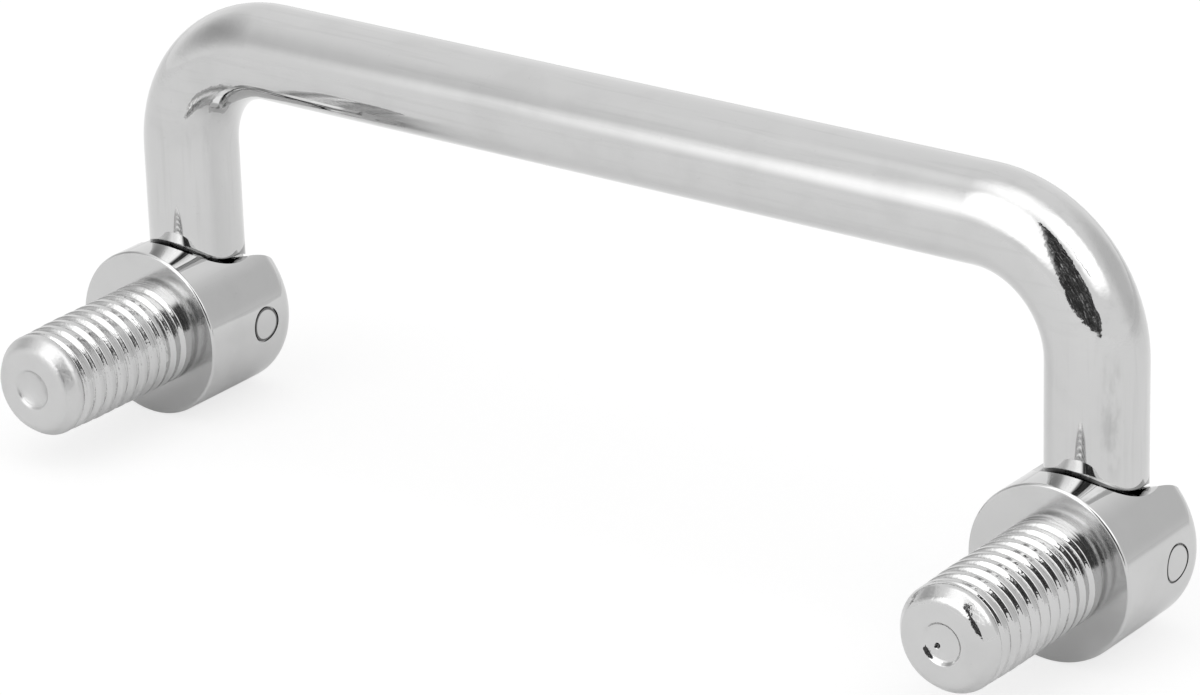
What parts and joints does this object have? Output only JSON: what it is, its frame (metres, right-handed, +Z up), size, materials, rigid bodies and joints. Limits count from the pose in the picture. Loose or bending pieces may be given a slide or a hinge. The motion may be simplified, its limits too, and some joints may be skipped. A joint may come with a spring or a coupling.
{
  "type": "folding handle",
  "caption": "Folding grab handle: a round bar bent into a low U swings a quarter turn on pins in slotted round hinge heads, whose threaded studs bolt through a panel.",
  "frame": {"origin": "midway between the studs, on the plane of the shoulder faces that meet the panel", "axes": "+X along the bar, +Z up the legs, -Y along the studs through the panel"},
  "size_m": [0.1162, 0.0293, 0.0404],
  "materials": {
    "bow": "polished chrome plate on steel",
    "hinge_bolt": "polished chrome plate on steel",
    "pin": "ground flush and plated"
  },
  "bodies": {
    "hinge_bolts": {"left_hinge_bolt": "hinge_bolt", "right_hinge_bolt": "hinge_bolt", "left_pin": "pin", "right_pin": "pin"},
    "bow": {"bow": "bow"}
  },
  "joints": [
    {"name": "bow_fold", "type": "hinge", "parent": "hinge_bolts", "child": "bow", "pos_m": [0, 0.0077, 0], "axis": [-1, 0, 0], "range_deg": [0, 90]}
  ]
}
